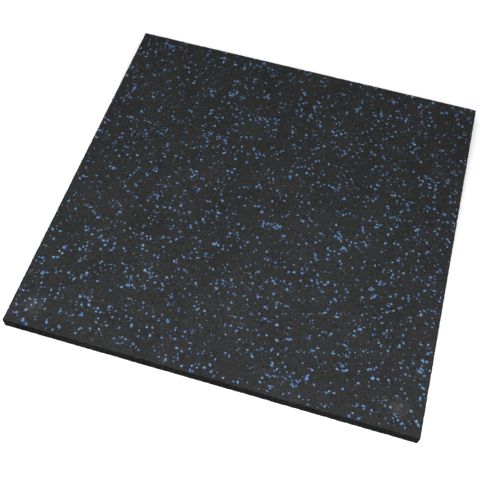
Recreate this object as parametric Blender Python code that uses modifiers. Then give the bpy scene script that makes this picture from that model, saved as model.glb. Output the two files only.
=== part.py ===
"""Square rubber floor tile: one press-moulded slab of bonded black granulate.

Lengths are in metres and +Z is up. The origin is at the centre of the underside.
X runs along the front edge and Y runs from the front edge to the back edge.
The granules and the blue flecks are finer than this solid and are left off it.
"""

import math

import bmesh
import bpy

# Driving dimensions
SIDE = 0.500
THICKNESS = 0.016

# Easing that the mould leaves on every edge and corner
EDGE_RADIUS = 0.001
EDGE_STEPS = 4

# Faces that meet at more than this angle have their edge eased
EASED_ANGLE = math.radians(50)

# Finish of the bonded granulate, as linear red, green, blue and alpha
BLACK_RUBBER = (0.032, 0.036, 0.043, 1.0)
BLACK_RUBBER_ROUGHNESS = 0.85

TILE_NAME = "rubber_tile"
COLLECTION_NAME = "rubber_floor_tile"


def clear_scene():
    """Remove whatever the open file holds, so that the tile stands alone."""
    for scene_object in list(bpy.data.objects):
        bpy.data.objects.remove(scene_object, do_unlink=True)


def make_collection():
    """Make the collection that holds the tile."""
    collection = bpy.data.collections.new(COLLECTION_NAME)
    bpy.context.scene.collection.children.link(collection)
    return collection


def make_black_granulate():
    """Matt black rubber, the finish of the whole slab."""
    material = bpy.data.materials.new("black_granulate")
    material.use_nodes = True
    shader = material.node_tree.nodes["Principled BSDF"]
    shader.inputs["Base Color"].default_value = BLACK_RUBBER
    shader.inputs["Roughness"].default_value = BLACK_RUBBER_ROUGHNESS
    shader.inputs["Metallic"].default_value = 0.0
    return material


def make_slab_mesh():
    """A box of the tile's full size, standing on Z = 0."""
    mesh = bpy.data.meshes.new(TILE_NAME)
    slab = bmesh.new()
    bmesh.ops.create_cube(slab, size=1.0)
    bmesh.ops.scale(slab, vec=(SIDE, SIDE, THICKNESS), verts=slab.verts)
    bmesh.ops.translate(slab, vec=(0.0, 0.0, THICKNESS / 2), verts=slab.verts)
    slab.to_mesh(mesh)
    slab.free()
    mesh.shade_smooth()
    return mesh


def ease_edges(tile):
    """Round all twelve edges, and the eight corners with them, by one small radius."""
    bevel = tile.modifiers.new("eased_edges", "BEVEL")
    bevel.limit_method = "ANGLE"
    bevel.angle_limit = EASED_ANGLE
    bevel.width = EDGE_RADIUS
    bevel.segments = EDGE_STEPS
    bevel.harden_normals = True


def make_tile(collection):
    """The whole tile, which is one piece of stock."""
    tile = bpy.data.objects.new(TILE_NAME, make_slab_mesh())
    collection.objects.link(tile)
    tile.data.materials.append(make_black_granulate())
    ease_edges(tile)
    return tile


def main():
    clear_scene()
    make_tile(make_collection())


if __name__ == "__main__":
    main()
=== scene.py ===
"""Looks of the rubber floor tile: its bonded black granulate, its blue flecks and its studio."""

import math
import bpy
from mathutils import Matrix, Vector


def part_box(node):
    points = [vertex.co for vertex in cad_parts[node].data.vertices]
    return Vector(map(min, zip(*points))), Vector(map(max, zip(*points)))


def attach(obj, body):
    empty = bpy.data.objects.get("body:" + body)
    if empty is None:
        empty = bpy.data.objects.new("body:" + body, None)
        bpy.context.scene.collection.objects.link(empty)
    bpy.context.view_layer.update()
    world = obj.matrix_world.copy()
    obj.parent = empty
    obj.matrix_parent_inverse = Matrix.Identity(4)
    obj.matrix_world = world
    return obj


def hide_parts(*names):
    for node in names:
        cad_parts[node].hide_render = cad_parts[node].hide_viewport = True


bl_info = {
    "name": "Rubber Floor Tile",
    "version": (1, 0, 0),
    "blender": (4, 5, 0),
    "location": "View3D > Sidebar > Floor Tile",
    "description": "Makes a flecked rubber granulate floor tile and a plain studio for it",
    "category": "Add Mesh",
}

import bpy
from bpy.props import FloatProperty, FloatVectorProperty, IntProperty, PointerProperty
from mathutils import Matrix, Vector

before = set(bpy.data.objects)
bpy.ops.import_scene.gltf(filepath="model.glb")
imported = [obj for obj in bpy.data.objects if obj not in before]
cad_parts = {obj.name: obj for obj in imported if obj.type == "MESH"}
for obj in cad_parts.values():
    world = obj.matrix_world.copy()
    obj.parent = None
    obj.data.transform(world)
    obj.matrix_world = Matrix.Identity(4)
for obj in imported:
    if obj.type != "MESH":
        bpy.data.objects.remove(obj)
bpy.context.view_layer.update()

BODY = "root"
CAD_NODE = "rubber_tile"
CAD_LOW, CAD_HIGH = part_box(CAD_NODE)
TILE_SIDE = CAD_HIGH.x - CAD_LOW.x
TILE_THICKNESS = CAD_HIGH.z - CAD_LOW.z
TOP_CENTRE = Vector(((CAD_LOW.x + CAD_HIGH.x) / 2, (CAD_LOW.y + CAD_HIGH.y) / 2, CAD_HIGH.z))

MM = 0.001

# A range below is where a change begins and where it is complete

# The slab's rows of cells. The higher the crowding, the more rows stand near its rims.
CELLS_ALONG = 200
CELLS_UP = 9
CROWDING_ALONG = 2.7
CROWDING_UP = 2.0
CROWDING_FADE = 1.1

# The slab's relief. A pit deepens with the distance from a granule's middle, in granule widths.
SKIN_DEPTH = 0.04 * MM
SWELL_DEPTH = 0.15 * MM
SWELL_WIDTH = 60 * MM
PIT_RANGE = (0.2, 0.8)
NICK_WIDTH = 7 * MM
NICK_RANGE = (0.6, 0.74)

# The points of the slab are shuffled by up to half of the shuffle, more the further from a rim
SHUFFLE = 1.5 * MM
SHUFFLE_RANGE = (3 * MM, 9 * MM)

# Clumps of flecks, and the share of them that is left where the blue is mixed in worst
CLUMP_WIDTH = 12 * MM
CLUMP_RANGE = (0.42, 0.6)
THINNEST_SHARE = 0.13
FIELD_ROWS = 201

# Each fleck, whose radii are in its own widths. A bias above 1 makes most of them small.
SMALL_BIAS = 2.0
FLECK_CORNERS = 9
FLECK_DEPTH = 0.5 * MM
FLECK_HEIGHT_SPREAD = 0.03 * MM
FLECK_STRETCH = (0.75, 1.35)
FLECK_TOP_RADIUS = 0.46
FLECK_BOTTOM_RADIUS = 0.5
CHIPS_ACROSS = 2.6
CHIP_RANGE = (0.3, 0.7)
CHIP_REACH = (0.5, 1.45)

# The black granules. Widths are in granule widths or millimetres, tones multiply the colour,
# and heights are shares of the finest relief.
FINE_WIDTH = 0.42
FINES_WIDTH = 2.2
FINES_RANGE = (0.5, 0.54)
BEND_WIDTH = 0.8
BEND = 0.7
GRANULE_TONES = (0.78, 1.22)
OPEN_GAP_WIDTH = 1.5
OPEN_GAP_RANGE = (0.42, 0.62)
# How much painted shade darkens the gaps between granules, where they are nearly closed and where
# they are open
GAP_PAINTED_SHADE = (0.08, 0.45)
GAP_RANGE = (0.0, 0.17)
BLACK_GRAIN_WIDTH = 0.5 * MM
BLACK_GRAIN_RANGE = (0.25, 0.75)
BLACK_GRAIN_TONES = (0.86, 1.14)
SLOW_WIDTH = 45 * MM
SLOW_RANGE = (0.3, 0.7)
SLOW_TONES = (0.88, 1.12)
BROWN_RANGE = (0.93, 0.96)
BROWN_TINT = (1.2, 0.98, 0.86)
BLACK_ROUGHNESS = (0.62, 0.92)
DOME_RADIUS = 0.8
DOME_HEIGHT = 0.5
GAP_HEIGHT = 0.8
BLACK_GRAIN_HEIGHT = 0.4

# A butt edge is darker than the two faces by painted shade, and its granules differ more from each
# other
SIDE_RANGE = (0.2, 0.9)
SIDE_PAINTED_SHADE = 0.42
SIDE_CONTRAST = 2.6

# The flecks' finish. The rim is nearly black on a fleck that lies alone.
DEEP_TO_MID = (0.0, 0.45)
MID_TO_PALE = (0.55, 1.0)
BLUE_GRAIN_WIDTH = 0.6 * MM
BLUE_GRAIN_RANGE = (0.3, 0.7)
BLUE_GRAIN_TONES = (0.8, 1.15)
GREENER_TINT = (0.88, 1.03, 0.97, 1.0)
REDDER_TINT = (1.06, 0.99, 1.01, 1.0)
RIM_RANGE = (0.16, 0.62)
CROWDED_RANGE = (0.42, 0.58)
LONE_RIM = (0.02, 0.026, 0.045, 1.0)
TONE_DIGITS = 37.0

# The faint pale patches near both front corners
PALE_PATCH_INSET = 29 * MM
PALE_PATCH_REACH = 17 * MM
PALE_PATCH_WIDTH = 4 * MM
PALE_PATCH_RANGE = (0.3, 0.7)
PALE_PATCH_HEIGHTS = (0.9 * TILE_THICKNESS, 0.97 * TILE_THICKNESS)
PALE_PATCH_COVER = 0.2
PALE_PATCH_COLOUR = (0.16, 0.16, 0.165, 1.0)

# The floor, and the long soft light over the tile's front edge
FLOOR_SIDE = 12.0
LIGHT_PLACE = (0.0, -0.35, 0.55)
LIGHT_LENGTH = 1.4
LIGHT_WIDTH = 0.35

# The photograph is square, and so is its camera's sensor
IMAGE_WIDTH = 480
SENSOR_WIDTH = 36.0
FOCAL_LENGTH_PIXELS = 786.7

# The camera's place from the centre of the tile's top, in tile sides, and how it is turned
CAMERA_PLACE = Vector((0.2113, -1.1438, 1.6928))
CAMERA_LOOK = Vector((-0.1184, 0.5135, -0.8499))
CAMERA_RIGHT = Vector((0.9594, 0.2805, 0.0283))
NEAREST_SEEN = 0.01


class SlabSettings(bpy.types.PropertyGroup):
    """Sizes and colour of the black granulate slab."""

    edge_radius: FloatProperty(
        name="Edge Radius",
        description="Easing of every edge and corner",
        default=1.0 * MM,
        min=0.0,
        subtype="DISTANCE",
        unit="LENGTH",
    )
    granule_size: FloatProperty(
        name="Granule Size",
        description="Usual width of one black granule",
        default=2.6 * MM,
        min=0.1 * MM,
        subtype="DISTANCE",
        unit="LENGTH",
    )
    face_relief: FloatProperty(
        name="Face Relief",
        description="Depth of the pits between granules on the walking surface and the underside",
        default=0.12 * MM,
        min=0.0,
        subtype="DISTANCE",
        unit="LENGTH",
    )
    side_relief: FloatProperty(
        name="Side Relief",
        description="Depth of the pits between granules on the four butt edges",
        default=0.4 * MM,
        min=0.0,
        subtype="DISTANCE",
        unit="LENGTH",
    )
    nick_depth: FloatProperty(
        name="Nick Depth",
        description="Depth of the places along the rims where a granule has come away",
        default=0.9 * MM,
        min=0.0,
        subtype="DISTANCE",
        unit="LENGTH",
    )
    colour: FloatVectorProperty(
        name="Black",
        description="Colour of the black granules",
        default=(0.0198, 0.0203, 0.0208, 1.0),
        size=4,
        min=0.0,
        max=1.0,
        subtype="COLOR",
    )


class FleckSettings(bpy.types.PropertyGroup):
    """Number, sizes and colours of the blue flecks."""

    density: FloatProperty(
        name="Density",
        description="Flecks on each square metre before thinning",
        default=30000.0,
        min=0.0,
    )
    smallest: FloatProperty(
        name="Smallest",
        description="Width of the smallest fleck before it is stretched",
        default=1.4 * MM,
        min=0.1 * MM,
        subtype="DISTANCE",
        unit="LENGTH",
    )
    largest: FloatProperty(
        name="Largest",
        description="Width of the largest fleck before it is stretched",
        default=4.9 * MM,
        min=0.1 * MM,
        subtype="DISTANCE",
        unit="LENGTH",
    )
    plain_rim: FloatProperty(
        name="Plain Rim",
        description="Width of the strip along the tile's edge that no fleck reaches",
        default=1.1 * MM,
        min=0.0,
        subtype="DISTANCE",
        unit="LENGTH",
    )
    seed: IntProperty(
        name="Seed",
        description="Picks one of the many scatters",
        default=11,
        min=0,
    )
    rim_blue: FloatVectorProperty(
        name="Rim Blue",
        description="Colour of the rim of a fleck that lies among others",
        default=(0.006, 0.038, 0.12, 1.0),
        size=4,
        min=0.0,
        max=1.0,
        subtype="COLOR",
    )
    deep_blue: FloatVectorProperty(
        name="Deep Blue",
        description="Colour of the middle of the darkest flecks",
        default=(0.046, 0.085, 0.158, 1.0),
        size=4,
        min=0.0,
        max=1.0,
        subtype="COLOR",
    )
    mid_blue: FloatVectorProperty(
        name="Mid Blue",
        description="Colour of the middle of most flecks",
        default=(0.084, 0.145, 0.23, 1.0),
        size=4,
        min=0.0,
        max=1.0,
        subtype="COLOR",
    )
    pale_blue: FloatVectorProperty(
        name="Pale Blue",
        description="Colour of the middle of the palest flecks",
        default=(0.131, 0.22, 0.33, 1.0),
        size=4,
        min=0.0,
        max=1.0,
        subtype="COLOR",
    )


class StudioSettings(bpy.types.PropertyGroup):
    """Light and floor of the studio."""

    floor_colour: FloatVectorProperty(
        name="Floor",
        description="Colour of the pale floor",
        default=(0.9, 0.9, 0.9, 1.0),
        size=4,
        min=0.0,
        max=1.0,
        subtype="COLOR",
    )
    key_power: FloatProperty(
        name="Key Light",
        description="Power of the long soft light over the front edge",
        default=7.2,
        min=0.0,
        subtype="POWER",
        unit="POWER",
    )
    sky_strength: FloatProperty(
        name="Surrounding Light",
        description="Strength of the white light from all round",
        default=0.98,
        min=0.0,
    )


class NodeWriter:
    """Adds nodes to one tree. A value fed to a node is a plain value or another node's output."""

    def __init__(self, tree):
        self.tree = tree

    def add(self, kind, values=None, **settings):
        node = self.tree.nodes.new(kind)
        for setting, value in settings.items():
            setattr(node, setting, value)
        for name, value in (values or {}).items():
            self.feed(node.inputs[name], value)
        return node

    def feed(self, socket, value):
        if isinstance(value, bpy.types.NodeSocket):
            self.tree.links.new(value, socket)
        else:
            socket.default_value = value

    def math(self, operation, *values):
        node = self.add("ShaderNodeMath", operation=operation)
        for socket, value in zip(node.inputs, values):
            self.feed(socket, value)
        return node.outputs[0]

    def vector(self, operation, *values):
        node = self.add("ShaderNodeVectorMath", operation=operation)
        sockets = node.inputs
        if operation == "SCALE":
            sockets = (node.inputs[0], node.inputs["Scale"])
        for socket, value in zip(sockets, values):
            self.feed(socket, value)
        return node.outputs["Value" if operation == "LENGTH" else "Vector"]

    def ramp(self, value, low, high, to_low=0.0, to_high=1.0, smooth=True):
        """Turn low..high of a value into to_low..to_high, and hold it at both ends."""
        node = self.add("ShaderNodeMapRange", interpolation_type="SMOOTHSTEP" if smooth else "LINEAR")
        for socket, given in zip(node.inputs, (value, low, high, to_low, to_high)):
            self.feed(socket, given)
        return node.outputs[0]

    def noise(self, place, width, detail):
        """Soft patches of about the given width: a number round 0.5, and a colour like it."""
        inputs = {"Vector": place, "Scale": 1 / width, "Detail": detail}
        return self.add("ShaderNodeTexNoise", inputs).outputs

    def combine(self, x, y, z):
        node = self.add("ShaderNodeCombineXYZ")
        for socket, value in zip(node.inputs, (x, y, z)):
            self.feed(socket, value)
        return node.outputs[0]

    def separate(self, vector):
        node = self.add("ShaderNodeSeparateXYZ")
        self.feed(node.inputs[0], vector)
        return list(node.outputs)

    def level(self, vector):
        """The vector with its height taken out."""
        return self.vector("MULTIPLY", vector, (1.0, 1.0, 0.0))

    def to_all_sides(self, chance):
        """A random colour, whose parts lie between 0 and 1, as a vector that may point any way."""
        return self.vector("SUBTRACT", chance, (0.5, 0.5, 0.5))

    def position(self):
        """Where each point of the mesh is at this step of a geometry tree."""
        return self.add("GeometryNodeInputPosition").outputs[0]

    def moved(self, geometry, position):
        """The geometry with each of its points put at a new position."""
        values = {"Geometry": geometry, "Position": position}
        return self.add("GeometryNodeSetPosition", values).outputs[0]

    def stored(self, geometry, name, value, kind="FLOAT"):
        """The geometry with a value stored on each of its points under a name."""
        node = self.add("GeometryNodeStoreNamedAttribute", data_type=kind, domain="POINT")
        for socket_name, given in (("Geometry", geometry), ("Name", name), ("Value", value)):
            self.feed(node.inputs[socket_name], given)
        return node.outputs[0]


def geometry_tree(name, inputs):
    """An empty tree with one output and the named inputs, each a (name, socket kind) pair."""
    tree = bpy.data.node_groups.new(name, "GeometryNodeTree")
    tree.interface.new_socket("Geometry", in_out="OUTPUT", socket_type="NodeSocketGeometry")
    for socket_name, kind in inputs:
        tree.interface.new_socket(socket_name, in_out="INPUT", socket_type=kind)
    write = NodeWriter(tree)
    given = write.add("NodeGroupInput").outputs
    return tree, write, given


def finish_tree(write, geometry, material):
    """Realize what the tree makes, give it its material and hand it out."""
    realized = write.add("GeometryNodeRealizeInstances", {"Geometry": geometry}).outputs[0]
    painted = write.add("GeometryNodeSetMaterial", {"Geometry": realized, "Material": material})
    output = write.add("NodeGroupOutput")
    write.feed(output.inputs[0], painted.outputs[0])


def mesh_from_tree(name, tree, values):
    """Run a tree with the named input values and keep its result as a plain mesh object."""
    host = bpy.data.objects.new(name + "_host", bpy.data.meshes.new(name + "_host"))
    bpy.context.scene.collection.objects.link(host)
    modifier = host.modifiers.new(name, "NODES")
    modifier.node_group = tree
    for item in tree.interface.items_tree:
        if item.in_out == "INPUT" and item.name in values:
            modifier[item.identifier] = values[item.name]
    evaluated = host.evaluated_get(bpy.context.evaluated_depsgraph_get())
    mesh = bpy.data.meshes.new_from_object(evaluated)
    host_mesh = host.data
    bpy.data.objects.remove(host)
    bpy.data.meshes.remove(host_mesh)
    if not mesh.polygons:
        raise RuntimeError(f"the tree for {name} made no faces")
    mesh.name = name
    piece = bpy.data.objects.new(name, mesh)
    bpy.context.scene.collection.objects.link(piece)
    return piece


def crowd_rows(write, coordinate, half_length, cells, crowding):
    """Move evenly spaced rows so that they stand closer together near both ends of their axis."""
    share = write.math("DIVIDE", write.math("ABSOLUTE", coordinate), half_length)
    half_cells = write.math("MULTIPLY", cells, 0.5)
    rows_in = write.math("MULTIPLY", write.math("SUBTRACT", 1.0, share), half_cells)

    def crowded(rows):
        fall = write.math("EXPONENT", write.math("DIVIDE", rows, -CROWDING_FADE * crowding))
        saved = write.math("MULTIPLY", write.math("SUBTRACT", 1.0, fall), crowding)
        return write.math("SUBTRACT", rows, saved)

    part_in = write.math("DIVIDE", crowded(rows_in), crowded(half_cells))
    length = write.math("SUBTRACT", half_length, write.math("MULTIPLY", part_in, half_length))
    return write.math("MULTIPLY", length, write.math("SIGN", coordinate))


def build_slab_tree():
    """A box of crowded rows with eased edges, whose faces are then pitted between the granules."""
    inputs = [
        ("Side", "NodeSocketFloat"),
        ("Thickness", "NodeSocketFloat"),
        ("Edge Radius", "NodeSocketFloat"),
        ("Cells Along", "NodeSocketInt"),
        ("Cells Up", "NodeSocketInt"),
        ("Granule Size", "NodeSocketFloat"),
        ("Face Relief", "NodeSocketFloat"),
        ("Side Relief", "NodeSocketFloat"),
        ("Nick Depth", "NodeSocketFloat"),
        ("Undulation", "NodeSocketFloat"),
        ("Skin Depth", "NodeSocketFloat"),
        ("Material", "NodeSocketMaterial"),
    ]
    tree, write, given = geometry_tree("granulate_slab", inputs)
    along = write.math("ADD", given["Cells Along"], 1.0)
    up = write.math("ADD", given["Cells Up"], 1.0)
    box = write.add(
        "GeometryNodeMeshCube",
        {
            "Size": write.combine(given["Side"], given["Side"], given["Thickness"]),
            "Vertices X": along,
            "Vertices Y": along,
            "Vertices Z": up,
        },
    ).outputs[0]

    half_side = write.math("MULTIPLY", given["Side"], 0.5)
    half_thickness = write.math("MULTIPLY", given["Thickness"], 0.5)
    x, y, z = write.separate(write.position())
    spread = write.combine(
        crowd_rows(write, x, half_side, given["Cells Along"], CROWDING_ALONG),
        crowd_rows(write, y, half_side, given["Cells Along"], CROWDING_ALONG),
        crowd_rows(write, z, half_thickness, given["Cells Up"], CROWDING_UP),
    )
    box = write.moved(box, spread)

    # Easing: each point is pushed out by the edge radius from the box that lies that far inside
    point = write.position()
    radius = given["Edge Radius"]
    half = write.combine(half_side, half_side, half_thickness)
    core = write.vector("SUBTRACT", half, write.combine(radius, radius, radius))
    opposite_core = write.vector("SCALE", core, -1.0)
    held = write.vector("MAXIMUM", write.vector("MINIMUM", point, core), opposite_core)
    outward = write.vector("NORMALIZE", write.vector("SUBTRACT", point, held))
    eased = write.vector("ADD", held, write.vector("SCALE", outward, radius))

    # Sideways tells how far a point belongs to a butt edge, from 0 on the two big faces to 1.
    # Rim is 1 halfway round an eased edge of the big faces, and 0 on every flat face.
    out_x, out_y, out_z = write.separate(outward)
    sideways = write.vector("LENGTH", write.combine(out_x, out_y, 0.0))
    upright = write.math("ABSOLUTE", out_z)
    rim = write.math("MULTIPLY", write.math("MULTIPLY", sideways, upright), 2.0)

    granules = write.add("ShaderNodeTexVoronoi", voronoi_dimensions="3D", feature="F1")
    write.feed(granules.inputs["Vector"], eased)
    write.feed(granules.inputs["Scale"], write.math("DIVIDE", 1.0, given["Granule Size"]))
    pit = write.ramp(granules.outputs["Distance"], *PIT_RANGE)
    relief = write.ramp(sideways, 0.0, 1.0, given["Face Relief"], given["Side Relief"])

    missing = write.noise(eased, NICK_WIDTH, detail=1.0)[0]
    nick = write.math("MULTIPLY", write.ramp(missing, *NICK_RANGE), rim)
    swell = write.noise(eased, SWELL_WIDTH, detail=1.0)[0]

    depth = write.math("ADD", given["Skin Depth"], write.math("MULTIPLY", pit, relief))
    depth = write.math("ADD", depth, write.math("MULTIPLY", nick, given["Nick Depth"]))
    depth = write.math("ADD", depth, write.math("MULTIPLY", swell, given["Undulation"]))
    pitted = write.vector("SUBTRACT", eased, write.vector("SCALE", outward, depth))

    # Away from the rims the rows are shuffled, so that no grid shows
    from_middle_x, from_middle_y, _ = write.separate(write.vector("ABSOLUTE", point))
    furthest = write.math("MAXIMUM", from_middle_x, from_middle_y)
    from_rim = write.math("SUBTRACT", half_side, furthest)
    shuffle = write.ramp(from_rim, *SHUFFLE_RANGE, 0.0, SHUFFLE)
    chance = write.add("ShaderNodeTexWhiteNoise", noise_dimensions="3D")
    write.feed(chance.inputs["Vector"], write.vector("SCALE", point, 1 / MM))
    aside = write.level(write.to_all_sides(chance.outputs["Color"]))
    shuffled = write.vector("ADD", pitted, write.vector("SCALE", aside, shuffle))

    standing = write.vector("ADD", shuffled, write.combine(0.0, 0.0, half_thickness))
    slab = write.moved(write.stored(box, "side_share", sideways), standing)
    smooth = write.add("GeometryNodeSetShadeSmooth", {"Geometry": slab}).outputs[0]
    finish_tree(write, smooth, given["Material"])
    return tree


def fleck_mixing(write, place):
    """How well the blue is mixed in over the walking surface, about 0.3 to 0.7.

    The tree thins the flecks by it, and their material gives lone flecks a darker rim by it.
    """
    x, y, _ = write.separate(place)
    return write.noise(write.combine(x, y, 0.0), CLUMP_WIDTH, detail=2.0)[0]


def build_fleck_tree():
    """Random flat chips over the walking surface, each with its own size, stretch and outline."""
    inputs = [
        ("Side", "NodeSocketFloat"),
        ("Top Height", "NodeSocketFloat"),
        ("Plain Rim", "NodeSocketFloat"),
        ("Density", "NodeSocketFloat"),
        ("Smallest", "NodeSocketFloat"),
        ("Largest", "NodeSocketFloat"),
        ("Small Bias", "NodeSocketFloat"),
        ("Corners", "NodeSocketInt"),
        ("Sunk Depth", "NodeSocketFloat"),
        ("Height Spread", "NodeSocketFloat"),
        ("Seed", "NodeSocketInt"),
        ("Material", "NodeSocketMaterial"),
    ]
    tree, write, given = geometry_tree("blue_flecks", inputs)
    seed = given["Seed"]

    def random_float(low, high, step):
        """A random number for each fleck. Each use has its own step, so that no two go together."""
        node = write.add("FunctionNodeRandomValue", data_type="FLOAT")
        write.feed(node.inputs[2], low)
        write.feed(node.inputs[3], high)
        write.feed(node.inputs["Seed"], write.math("ADD", seed, float(step)))
        return node.outputs[1]

    # The flecks' centres keep twice the plain rim off the tile's edge, their outlines keep it once
    plain_rims = write.math("MULTIPLY", given["Plain Rim"], 4.0)
    field_side = write.math("SUBTRACT", given["Side"], plain_rims)
    rows = {"Vertices X": FIELD_ROWS, "Vertices Y": FIELD_ROWS}
    field = write.add("GeometryNodeMeshGrid", rows)
    write.feed(field.inputs["Size X"], field_side)
    write.feed(field.inputs["Size Y"], field_side)
    mixing = fleck_mixing(write, write.position())
    thinned = write.ramp(mixing, *CLUMP_RANGE, THINNEST_SHARE, 1.0)
    points = write.add("GeometryNodeDistributePointsOnFaces", distribute_method="RANDOM")
    write.feed(points.inputs["Mesh"], field.outputs[0])
    write.feed(points.inputs["Density"], write.math("MULTIPLY", given["Density"], thinned))
    write.feed(points.inputs["Seed"], seed)

    share = write.math("POWER", random_float(0.0, 1.0, step=1), given["Small Bias"])
    width = write.ramp(share, 0.0, 1.0, given["Smallest"], given["Largest"], smooth=False)

    # A fleck's centre also holds how far below the highest ones it lies, so that no tops coincide
    x, y, _ = write.separate(write.position())
    lower = write.math("MULTIPLY", random_float(-1.0, 0.0, step=5), given["Height Spread"])
    marked = write.stored(points.outputs["Points"], "fleck_width", width)
    marked = write.stored(marked, "fleck_tone", random_float(0.0, 1.0, step=2))
    centre = write.combine(x, y, lower)
    marked = write.stored(marked, "fleck_centre", centre, kind="FLOAT_VECTOR")

    def named(name, kind="FLOAT"):
        node = write.add("GeometryNodeInputNamedAttribute", data_type=kind)
        write.feed(node.inputs["Name"], name)
        return node.outputs[0]

    # One chip, a unit wide and deep, which stores 1 in its middle and 0 at its outline
    chip = write.add(
        "GeometryNodeMeshCone",
        {
            "Vertices": given["Corners"],
            "Side Segments": 1,
            "Radius Top": FLECK_TOP_RADIUS,
            "Radius Bottom": FLECK_BOTTOM_RADIUS,
            "Depth": 1.0,
        },
        fill_type="TRIANGLE_FAN",
    ).outputs["Mesh"]
    from_middle = write.vector("LENGTH", write.level(write.position()))
    core = write.ramp(from_middle, 0.0, FLECK_BOTTOM_RADIUS, 1.0, 0.0, smooth=False)
    chip = write.stored(chip, "fleck_core", core)

    stretch = random_float(*FLECK_STRETCH, step=3)
    scale = write.combine(
        write.math("MULTIPLY", named("fleck_width"), stretch),
        write.math("DIVIDE", named("fleck_width"), stretch),
        given["Sunk Depth"],
    )
    turned = write.combine(0.0, 0.0, random_float(0.0, 2 * math.pi, step=4))
    placed = write.add(
        "GeometryNodeInstanceOnPoints",
        {"Points": marked, "Instance": chip, "Rotation": turned, "Scale": scale},
    ).outputs[0]
    loose = write.add("GeometryNodeRealizeInstances", {"Geometry": placed}).outputs[0]

    # Each corner moves in or out along its own radius, so that an outline never crosses itself
    position = write.position()
    middle = named("fleck_centre", "FLOAT_VECTOR")
    radius = write.level(write.vector("SUBTRACT", position, middle))
    fineness = write.math("DIVIDE", CHIPS_ACROSS, named("fleck_width"))
    in_chips = write.vector("SCALE", radius, fineness)
    own_place = write.vector("SCALE", middle, 1 / MM)
    in_noise = write.vector("ADD", in_chips, own_place)
    chipped = write.noise(in_noise, width=1.0, detail=1.0)[0]
    reach = write.ramp(chipped, *CHIP_RANGE, *CHIP_REACH, smooth=False)
    shaped = write.vector("ADD", middle, write.vector("SCALE", radius, reach))

    # A fleck near the tile's edge is cut off before the eased rim begins
    x, y, lower = write.separate(shaped)
    half_side = write.math("MULTIPLY", given["Side"], 0.5)
    limit = write.math("SUBTRACT", half_side, given["Plain Rim"])

    def cut(coordinate):
        longest = write.math("MINIMUM", write.math("ABSOLUTE", coordinate), limit)
        return write.math("MULTIPLY", longest, write.math("SIGN", coordinate))

    height_in_chip = write.separate(position)[2]
    height = write.math("ADD", given["Top Height"], lower)
    height = write.math("SUBTRACT", height, given["Sunk Depth"])
    height = write.math("ADD", height, height_in_chip)
    seated = write.combine(cut(x), cut(y), height)
    set_in = write.moved(loose, seated)
    for name in ("fleck_width", "fleck_centre"):
        values = {"Geometry": set_in, "Name": name}
        set_in = write.add("GeometryNodeRemoveAttribute", values).outputs[0]
    finish_tree(write, set_in, given["Material"])
    return tree


def new_material(name, roughness, specular):
    """A material with only its shader and output, and a writer for the rest."""
    material = bpy.data.materials.new(name)
    material.use_nodes = True
    material.node_tree.nodes.clear()
    write = NodeWriter(material.node_tree)
    finish = {"Roughness": roughness, "Specular IOR Level": specular}
    shader = write.add("ShaderNodeBsdfPrincipled", finish)
    output = write.add("ShaderNodeOutputMaterial")
    write.feed(output.inputs["Surface"], shader.outputs[0])
    return material, write, shader


def object_place(write):
    """The place on the piece, which every pattern of a material follows."""
    return write.add("ShaderNodeTexCoord").outputs["Object"]


def mesh_value(write, name):
    """A number that the piece's mesh stores under a name."""
    return write.add("ShaderNodeAttribute", attribute_name=name).outputs["Fac"]


def blend_colours(write, factor, first, second):
    """The first colour where the factor is 0 and the second where it is 1."""
    node = write.add("ShaderNodeMix", data_type="RGBA")
    write.feed(node.inputs[0], factor)
    write.feed(node.inputs[6], first)
    write.feed(node.inputs[7], second)
    return node.outputs[2]


def roughen(write, shader, height, strength, distance):
    """Give the finish its finest relief, which only bends the light."""
    inputs = {"Strength": strength, "Distance": distance, "Height": height}
    bump = write.add("ShaderNodeBump", inputs)
    write.feed(shader.inputs["Normal"], bump.outputs[0])


def with_pale_patches(write, place, paint):
    """Blend the paint towards pale grey in faint patches on the top near both front corners."""
    x, y, z = write.separate(place)
    inset = TILE_SIDE / 2 - PALE_PATCH_INSET
    beside = write.math("SUBTRACT", write.math("ABSOLUTE", x), inset)
    before = write.math("ADD", y, inset)
    away = write.vector("LENGTH", write.combine(beside, before, 0.0))
    broken = write.noise(place, PALE_PATCH_WIDTH, detail=3.0)[0]
    near = write.ramp(away, 0.0, PALE_PATCH_REACH, 1.0, 0.0)
    patch = write.math("MULTIPLY", near, write.ramp(broken, *PALE_PATCH_RANGE))
    on_top = write.ramp(z, *PALE_PATCH_HEIGHTS)
    share = write.math("MULTIPLY", write.math("MULTIPLY", patch, on_top), PALE_PATCH_COVER)
    return blend_colours(write, share, paint, PALE_PATCH_COLOUR)


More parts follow.
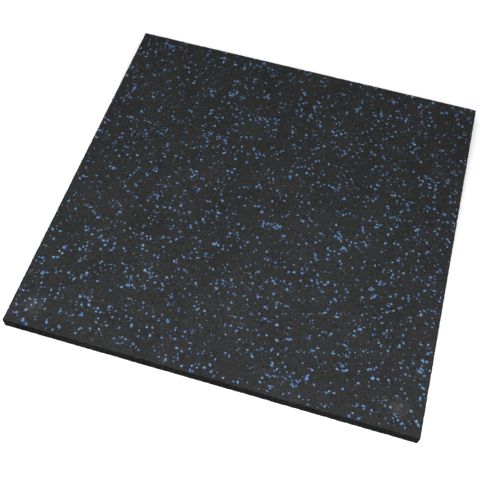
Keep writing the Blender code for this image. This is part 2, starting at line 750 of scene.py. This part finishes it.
def black_granulate(colour, granule_size):
    """Crumb of two sizes, each granule a shade of its own, with half-closed gaps and fine grain, and
    painted shade in the open gaps and on the butt edges.
    """
    material, write, shader = new_material("black_granulate", roughness=0.8, specular=0.01)
    place = object_place(write)

    # The granules' outlines are bent, so that they are chips and not neat cells
    bending = write.noise(place, BEND_WIDTH * granule_size, detail=2.0)["Color"]
    aside = write.to_all_sides(bending)
    bent = write.vector("ADD", place, write.vector("SCALE", aside, BEND * granule_size))

    def crumb(width):
        """Three chances for each granule, and the distance from its middle and from its edge."""
        inputs = {"Vector": bent, "Scale": 1 / width}
        cells = write.add("ShaderNodeTexVoronoi", inputs, feature="F1").outputs
        edges = write.add("ShaderNodeTexVoronoi", inputs, feature="DISTANCE_TO_EDGE").outputs
        return cells["Color"], cells["Distance"], edges["Distance"]

    def between(share, first, second):
        more = write.math("MULTIPLY", share, write.math("SUBTRACT", second, first))
        return write.math("ADD", first, more)

    coarse_chance, coarse_depth, coarse_gap = crumb(granule_size)
    fine_chance, fine_depth, fine_gap = crumb(FINE_WIDTH * granule_size)
    blending = write.noise(place, FINES_WIDTH * granule_size, detail=1.0)[0]
    fines = write.ramp(blending, *FINES_RANGE)
    chances = blend_colours(write, fines, coarse_chance, fine_chance)
    shade, polish, hue = write.separate(chances)
    depth = between(fines, coarse_depth, fine_depth)
    gap = between(fines, coarse_gap, fine_gap)

    # The gaps between the granules are open in some places and nearly closed in others, and the open
    # gaps are darkened with painted shade
    opening = write.noise(place, OPEN_GAP_WIDTH * granule_size, detail=2.0)[0]
    open_gap_shade = write.ramp(opening, *OPEN_GAP_RANGE, *GAP_PAINTED_SHADE)
    unfilled = write.math("SUBTRACT", 1.0, write.ramp(gap, *GAP_RANGE))
    crevice_shade = write.math("SUBTRACT", 1.0, write.math("MULTIPLY", open_gap_shade, unfilled))

    tone = write.ramp(shade, 0.0, 1.0, *GRANULE_TONES, smooth=False)
    grain = write.noise(place, BLACK_GRAIN_WIDTH, detail=3.0)[0]
    fine = write.ramp(grain, *BLACK_GRAIN_RANGE, *BLACK_GRAIN_TONES, smooth=False)
    drift = write.noise(place, SLOW_WIDTH, detail=3.0)[0]
    slow = write.ramp(drift, *SLOW_RANGE, *SLOW_TONES, smooth=False)
    granule = write.math("MULTIPLY", tone, crevice_shade)
    brightness = write.math("MULTIPLY", granule, write.math("MULTIPLY", fine, slow))

    # Painted shade: the butt edges are made darker than the two faces, and their granules differ more
    side_share = mesh_value(write, "side_share")
    shaded = write.ramp(side_share, *SIDE_RANGE, 1.0, SIDE_PAINTED_SHADE)
    contrast = write.ramp(side_share, *SIDE_RANGE, 1.0, SIDE_CONTRAST)
    brightness = write.math("MULTIPLY", write.math("POWER", brightness, contrast), shaded)
    paint = write.vector("SCALE", tuple(colour[:3]), brightness)

    # A few granules of the crumb are brownish instead of a neutral black
    brownish = write.vector("MULTIPLY", paint, BROWN_TINT)
    tinted = blend_colours(write, write.ramp(hue, *BROWN_RANGE), paint, brownish)
    roughness = write.ramp(polish, 0.0, 1.0, *BLACK_ROUGHNESS, smooth=False)
    write.feed(shader.inputs["Base Color"], with_pale_patches(write, place, tinted))
    write.feed(shader.inputs["Roughness"], roughness)

    dome = write.ramp(depth, 0.0, DOME_RADIUS, 1.0, 0.0)
    height = write.math("MULTIPLY", dome, DOME_HEIGHT)
    height = write.math("ADD", height, write.math("MULTIPLY", crevice_shade, GAP_HEIGHT))
    height = write.math("ADD", height, write.math("MULTIPLY", grain, BLACK_GRAIN_HEIGHT))
    roughen(write, shader, height, strength=0.7, distance=0.25 * MM)
    return material


def blue_rubber(settings):
    """Blue granules, each a tone of its own, with a worn pale middle and an uneven deep-blue rim."""
    material, write, shader = new_material("blue_rubber", roughness=0.7, specular=0.2)
    place = object_place(write)
    tone = mesh_value(write, "fleck_tone")
    low = write.ramp(tone, *DEEP_TO_MID, smooth=False)
    high = write.ramp(tone, *MID_TO_PALE, smooth=False)
    paint = blend_colours(write, low, tuple(settings.deep_blue), tuple(settings.mid_blue))
    paint = blend_colours(write, high, paint, tuple(settings.pale_blue))

    # Later digits of a fleck's random tone make it a little greener or redder
    grain = write.noise(place, BLUE_GRAIN_WIDTH, detail=2.0)[0]
    mottle = write.ramp(grain, *BLUE_GRAIN_RANGE, *BLUE_GRAIN_TONES, smooth=False)
    hue = write.math("FRACT", write.math("MULTIPLY", tone, TONE_DIGITS))
    tint = blend_colours(write, hue, GREENER_TINT, REDDER_TINT)
    paint = write.vector("MULTIPLY", write.vector("SCALE", paint, mottle), tint)

    # The grain makes the deep-blue rim uneven
    core = mesh_value(write, "fleck_core")
    crowded = write.ramp(fleck_mixing(write, place), *CROWDED_RANGE)
    rim = blend_colours(write, crowded, LONE_RIM, tuple(settings.rim_blue))
    uneven = write.math("ADD", core, write.math("SUBTRACT", grain, 0.5))
    paint = blend_colours(write, write.ramp(uneven, *RIM_RANGE), rim, paint)
    write.feed(shader.inputs["Base Color"], with_pale_patches(write, place, paint))
    roughen(write, shader, grain, strength=0.5, distance=0.1 * MM)
    return material


class FLOORTILE_OT_make_slab(bpy.types.Operator):
    """Make the black granulate slab"""

    bl_idname = "floortile.make_slab"
    bl_label = "Granulate Slab"

    def execute(self, context):
        settings = context.scene.floortile_slab
        values = {
            "Side": TILE_SIDE,
            "Thickness": TILE_THICKNESS,
            "Edge Radius": settings.edge_radius,
            "Cells Along": CELLS_ALONG,
            "Cells Up": CELLS_UP,
            "Granule Size": settings.granule_size,
            "Face Relief": settings.face_relief,
            "Side Relief": settings.side_relief,
            "Nick Depth": settings.nick_depth,
            "Undulation": SWELL_DEPTH,
            "Skin Depth": SKIN_DEPTH,
            "Material": black_granulate(settings.colour, settings.granule_size),
        }
        slab = mesh_from_tree("granulate_slab", build_slab_tree(), values)
        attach(slab, BODY)
        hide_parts(CAD_NODE)
        return {"FINISHED"}


class FLOORTILE_OT_scatter_flecks(bpy.types.Operator):
    """Set the blue flecks in the walking surface"""

    bl_idname = "floortile.scatter_flecks"
    bl_label = "Blue Flecks"

    def execute(self, context):
        settings = context.scene.floortile_flecks
        values = {
            "Side": TILE_SIDE,
            "Top Height": CAD_HIGH.z,
            "Plain Rim": settings.plain_rim,
            "Density": settings.density,
            "Smallest": settings.smallest,
            "Largest": settings.largest,
            "Small Bias": SMALL_BIAS,
            "Corners": FLECK_CORNERS,
            "Sunk Depth": FLECK_DEPTH,
            "Height Spread": FLECK_HEIGHT_SPREAD,
            "Seed": settings.seed,
            "Material": blue_rubber(settings),
        }
        flecks = mesh_from_tree("blue_flecks", build_fleck_tree(), values)
        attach(flecks, BODY)
        return {"FINISHED"}


def make_floor(colour):
    """A wide pale floor at the height of the tile's underside."""
    bpy.ops.mesh.primitive_plane_add(size=FLOOR_SIDE, location=(0.0, 0.0, CAD_LOW.z))
    floor = bpy.context.active_object
    floor.name = "studio_floor"
    material, write, shader = new_material("floor_paint", roughness=0.9, specular=0.1)
    write.feed(shader.inputs["Base Color"], tuple(colour))
    floor.data.materials.append(material)


def make_front_light(power):
    """A long soft light that faces straight down."""
    lamp = bpy.data.lights.new("front_softbox", "AREA")
    lamp.shape = "RECTANGLE"
    lamp.size = LIGHT_LENGTH
    lamp.size_y = LIGHT_WIDTH
    lamp.energy = power
    light = bpy.data.objects.new("front_softbox", lamp)
    bpy.context.scene.collection.objects.link(light)
    light.location = LIGHT_PLACE


def make_surroundings(strength):
    """Plain white light from all round."""
    world = bpy.data.worlds.new("studio_surroundings")
    world.use_nodes = True
    background = world.node_tree.nodes["Background"]
    background.inputs["Color"].default_value = (1.0, 1.0, 1.0, 1.0)
    background.inputs["Strength"].default_value = strength
    bpy.context.scene.world = world


def make_camera():
    """The photograph's view, from above the front edge and a little to its right."""
    camera = bpy.data.cameras.new("photo_camera")
    camera.sensor_width = SENSOR_WIDTH
    camera.lens = FOCAL_LENGTH_PIXELS / IMAGE_WIDTH * SENSOR_WIDTH
    camera.clip_start = NEAREST_SEEN
    view = bpy.data.objects.new("photo_camera", camera)
    bpy.context.scene.collection.objects.link(view)
    look = CAMERA_LOOK.normalized()
    right = (CAMERA_RIGHT - look * CAMERA_RIGHT.dot(look)).normalized()
    rise = right.cross(look)
    turn = Matrix((right, rise, -look)).transposed()
    place = Matrix.Translation(TOP_CENTRE + CAMERA_PLACE * TILE_SIDE)
    view.matrix_world = place @ turn.to_4x4()
    bpy.context.scene.camera = view


class FLOORTILE_OT_set_stage(bpy.types.Operator):
    """Set the pale floor, the soft light and the camera"""

    bl_idname = "floortile.set_stage"
    bl_label = "Studio"

    def execute(self, context):
        settings = context.scene.floortile_studio
        make_floor(settings.floor_colour)
        make_front_light(settings.key_power)
        make_surroundings(settings.sky_strength)
        make_camera()
        context.scene.view_settings.view_transform = "Standard"
        return {"FINISHED"}


class FLOORTILE_PT_sidebar(bpy.types.Panel):
    """The tile's settings and buttons"""

    bl_idname = "FLOORTILE_PT_sidebar"
    bl_label = "Rubber Floor Tile"
    bl_space_type = "VIEW_3D"
    bl_region_type = "UI"
    bl_category = "Floor Tile"

    def draw(self, context):
        for name, group, operator in PIECES:
            settings = getattr(context.scene, name)
            box = self.layout.box()
            for setting in group.__annotations__:
                box.prop(settings, setting)
            box.operator(operator.bl_idname)


PIECES = (
    ("floortile_slab", SlabSettings, FLOORTILE_OT_make_slab),
    ("floortile_flecks", FleckSettings, FLOORTILE_OT_scatter_flecks),
    ("floortile_studio", StudioSettings, FLOORTILE_OT_set_stage),
)
CLASSES = (
    *(group for _, group, _ in PIECES),
    *(operator for _, _, operator in PIECES),
    FLOORTILE_PT_sidebar,
)


def register():
    for made in CLASSES:
        bpy.utils.register_class(made)
    for name, group, _ in PIECES:
        setattr(bpy.types.Scene, name, PointerProperty(type=group))


def unregister():
    for name, _, _ in PIECES:
        delattr(bpy.types.Scene, name)
    for made in reversed(CLASSES):
        bpy.utils.unregister_class(made)


def main():
    register()
    bpy.ops.floortile.make_slab()
    bpy.ops.floortile.scatter_flecks()
    bpy.ops.floortile.set_stage()


if __name__ == "__main__":
    main()
